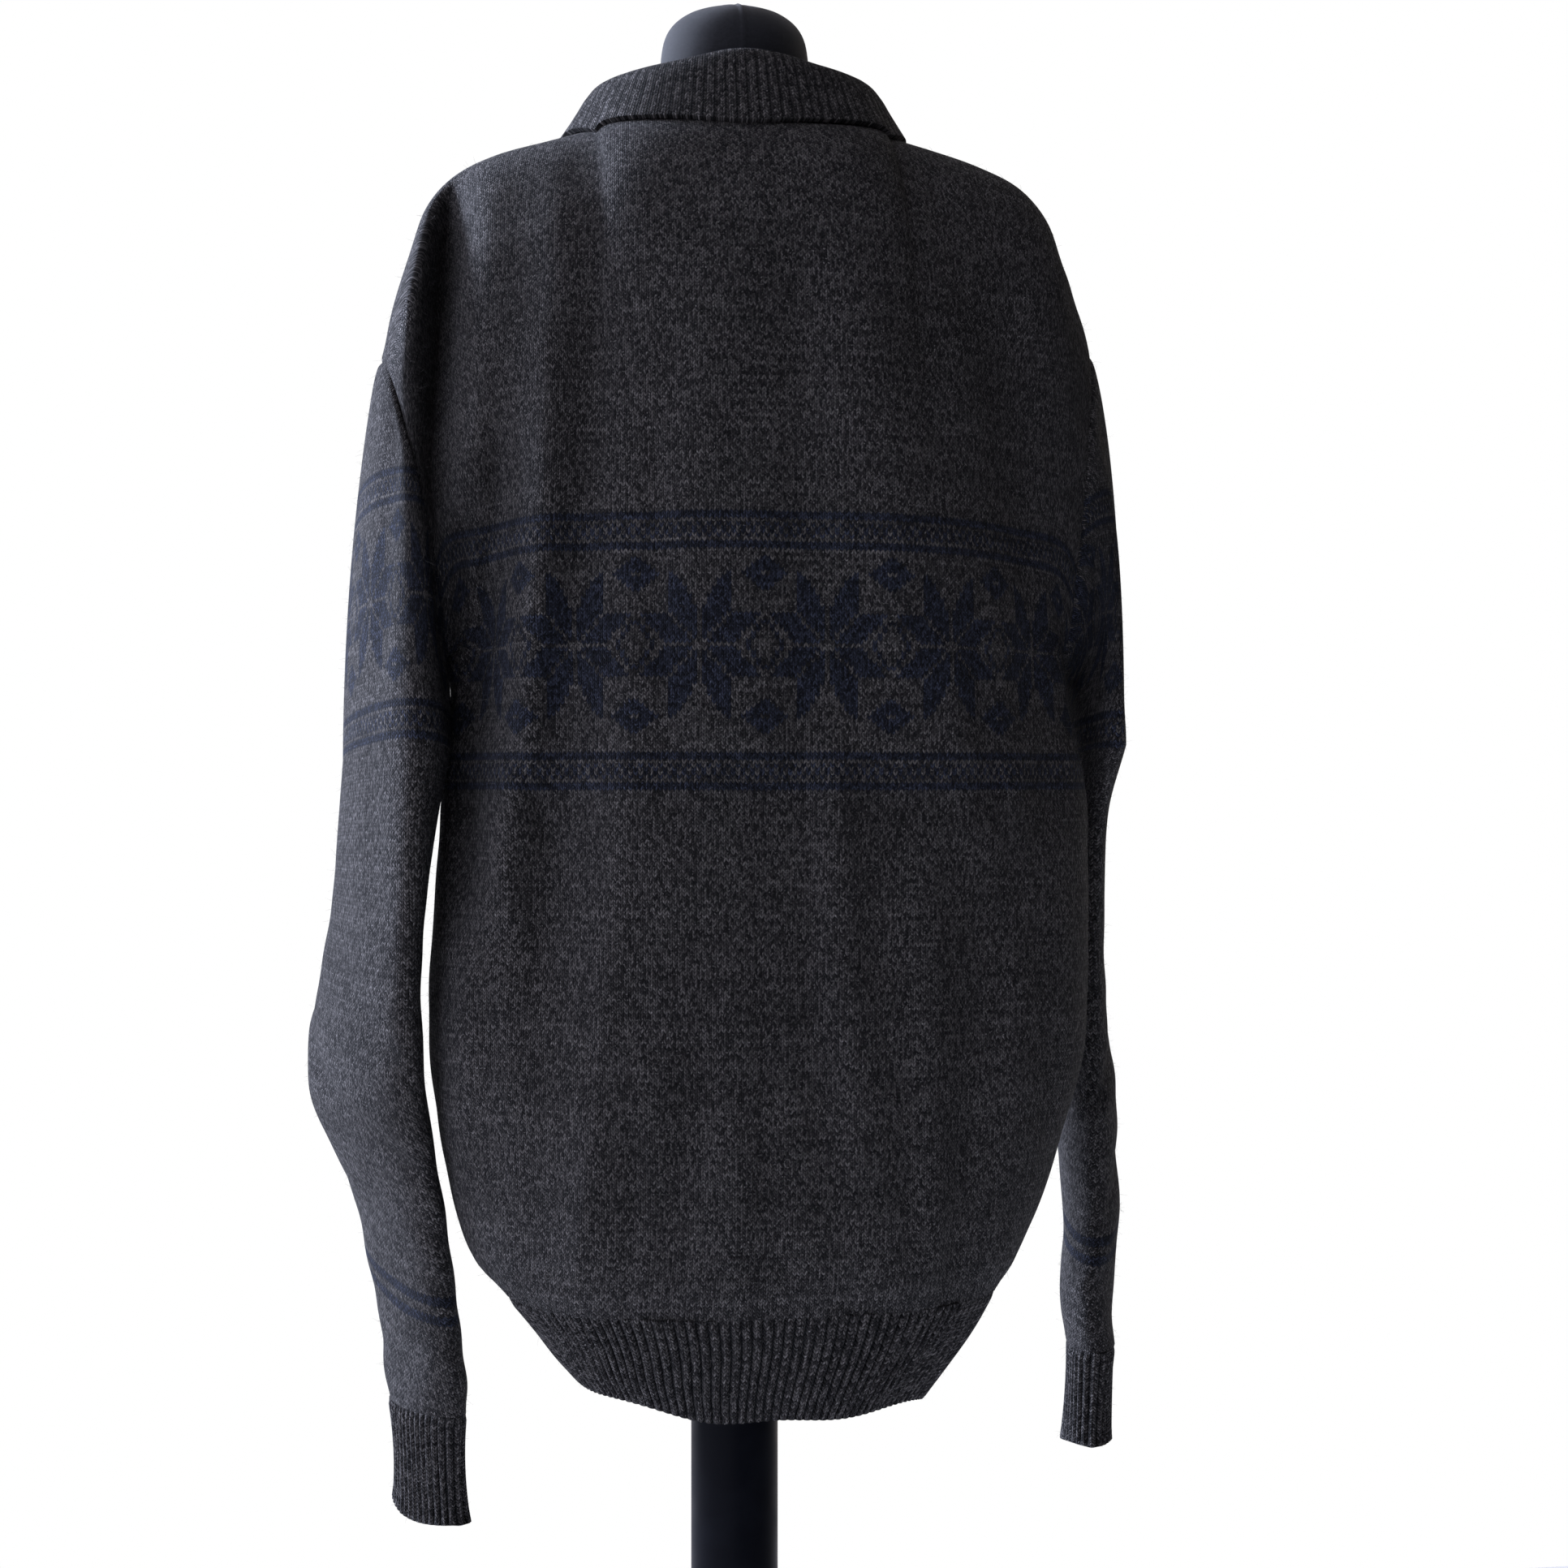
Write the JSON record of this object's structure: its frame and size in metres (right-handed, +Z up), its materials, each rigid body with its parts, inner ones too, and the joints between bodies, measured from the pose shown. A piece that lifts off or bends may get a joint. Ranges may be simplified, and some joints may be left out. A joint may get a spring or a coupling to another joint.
{
  "type": "polo sweater on a dress form",
  "caption": "Long-sleeved knitted polo sweater with ribbed collar, cuffs and hem and a short buttoned placket, worn by a limbless dress form on a pole with a round base.",
  "frame": {"origin": "centre of the base's underside, on the floor", "axes": "+Z up along the pole; the garment's front faces -Y and its back +Y; the wearer's left is +X"},
  "size_m": [0.5264, 0.36, 1.5205],
  "materials": {
    "wool": "heathered charcoal wool, plain knit",
    "wool_rib": "heathered charcoal wool, ribbed knit",
    "button": "satin dark button",
    "form_jersey": "black jersey cover",
    "stand_metal": "satin black paint"
  },
  "bodies": {
    "root": {"back_panel": "wool", "front_panel": "wool", "sleeve_left": "wool", "sleeve_right": "wool", "cuff_left": "wool_rib", "cuff_right": "wool_rib", "hem_rib": "wool_rib", "collar": "wool_rib", "placket_under": "wool", "placket_over": "wool", "button_1": "button", "button_2": "button", "button_3": "button", "form_torso": "form_jersey", "form_pole": "stand_metal", "form_base": "stand_metal"}
  },
  "joints": []
}
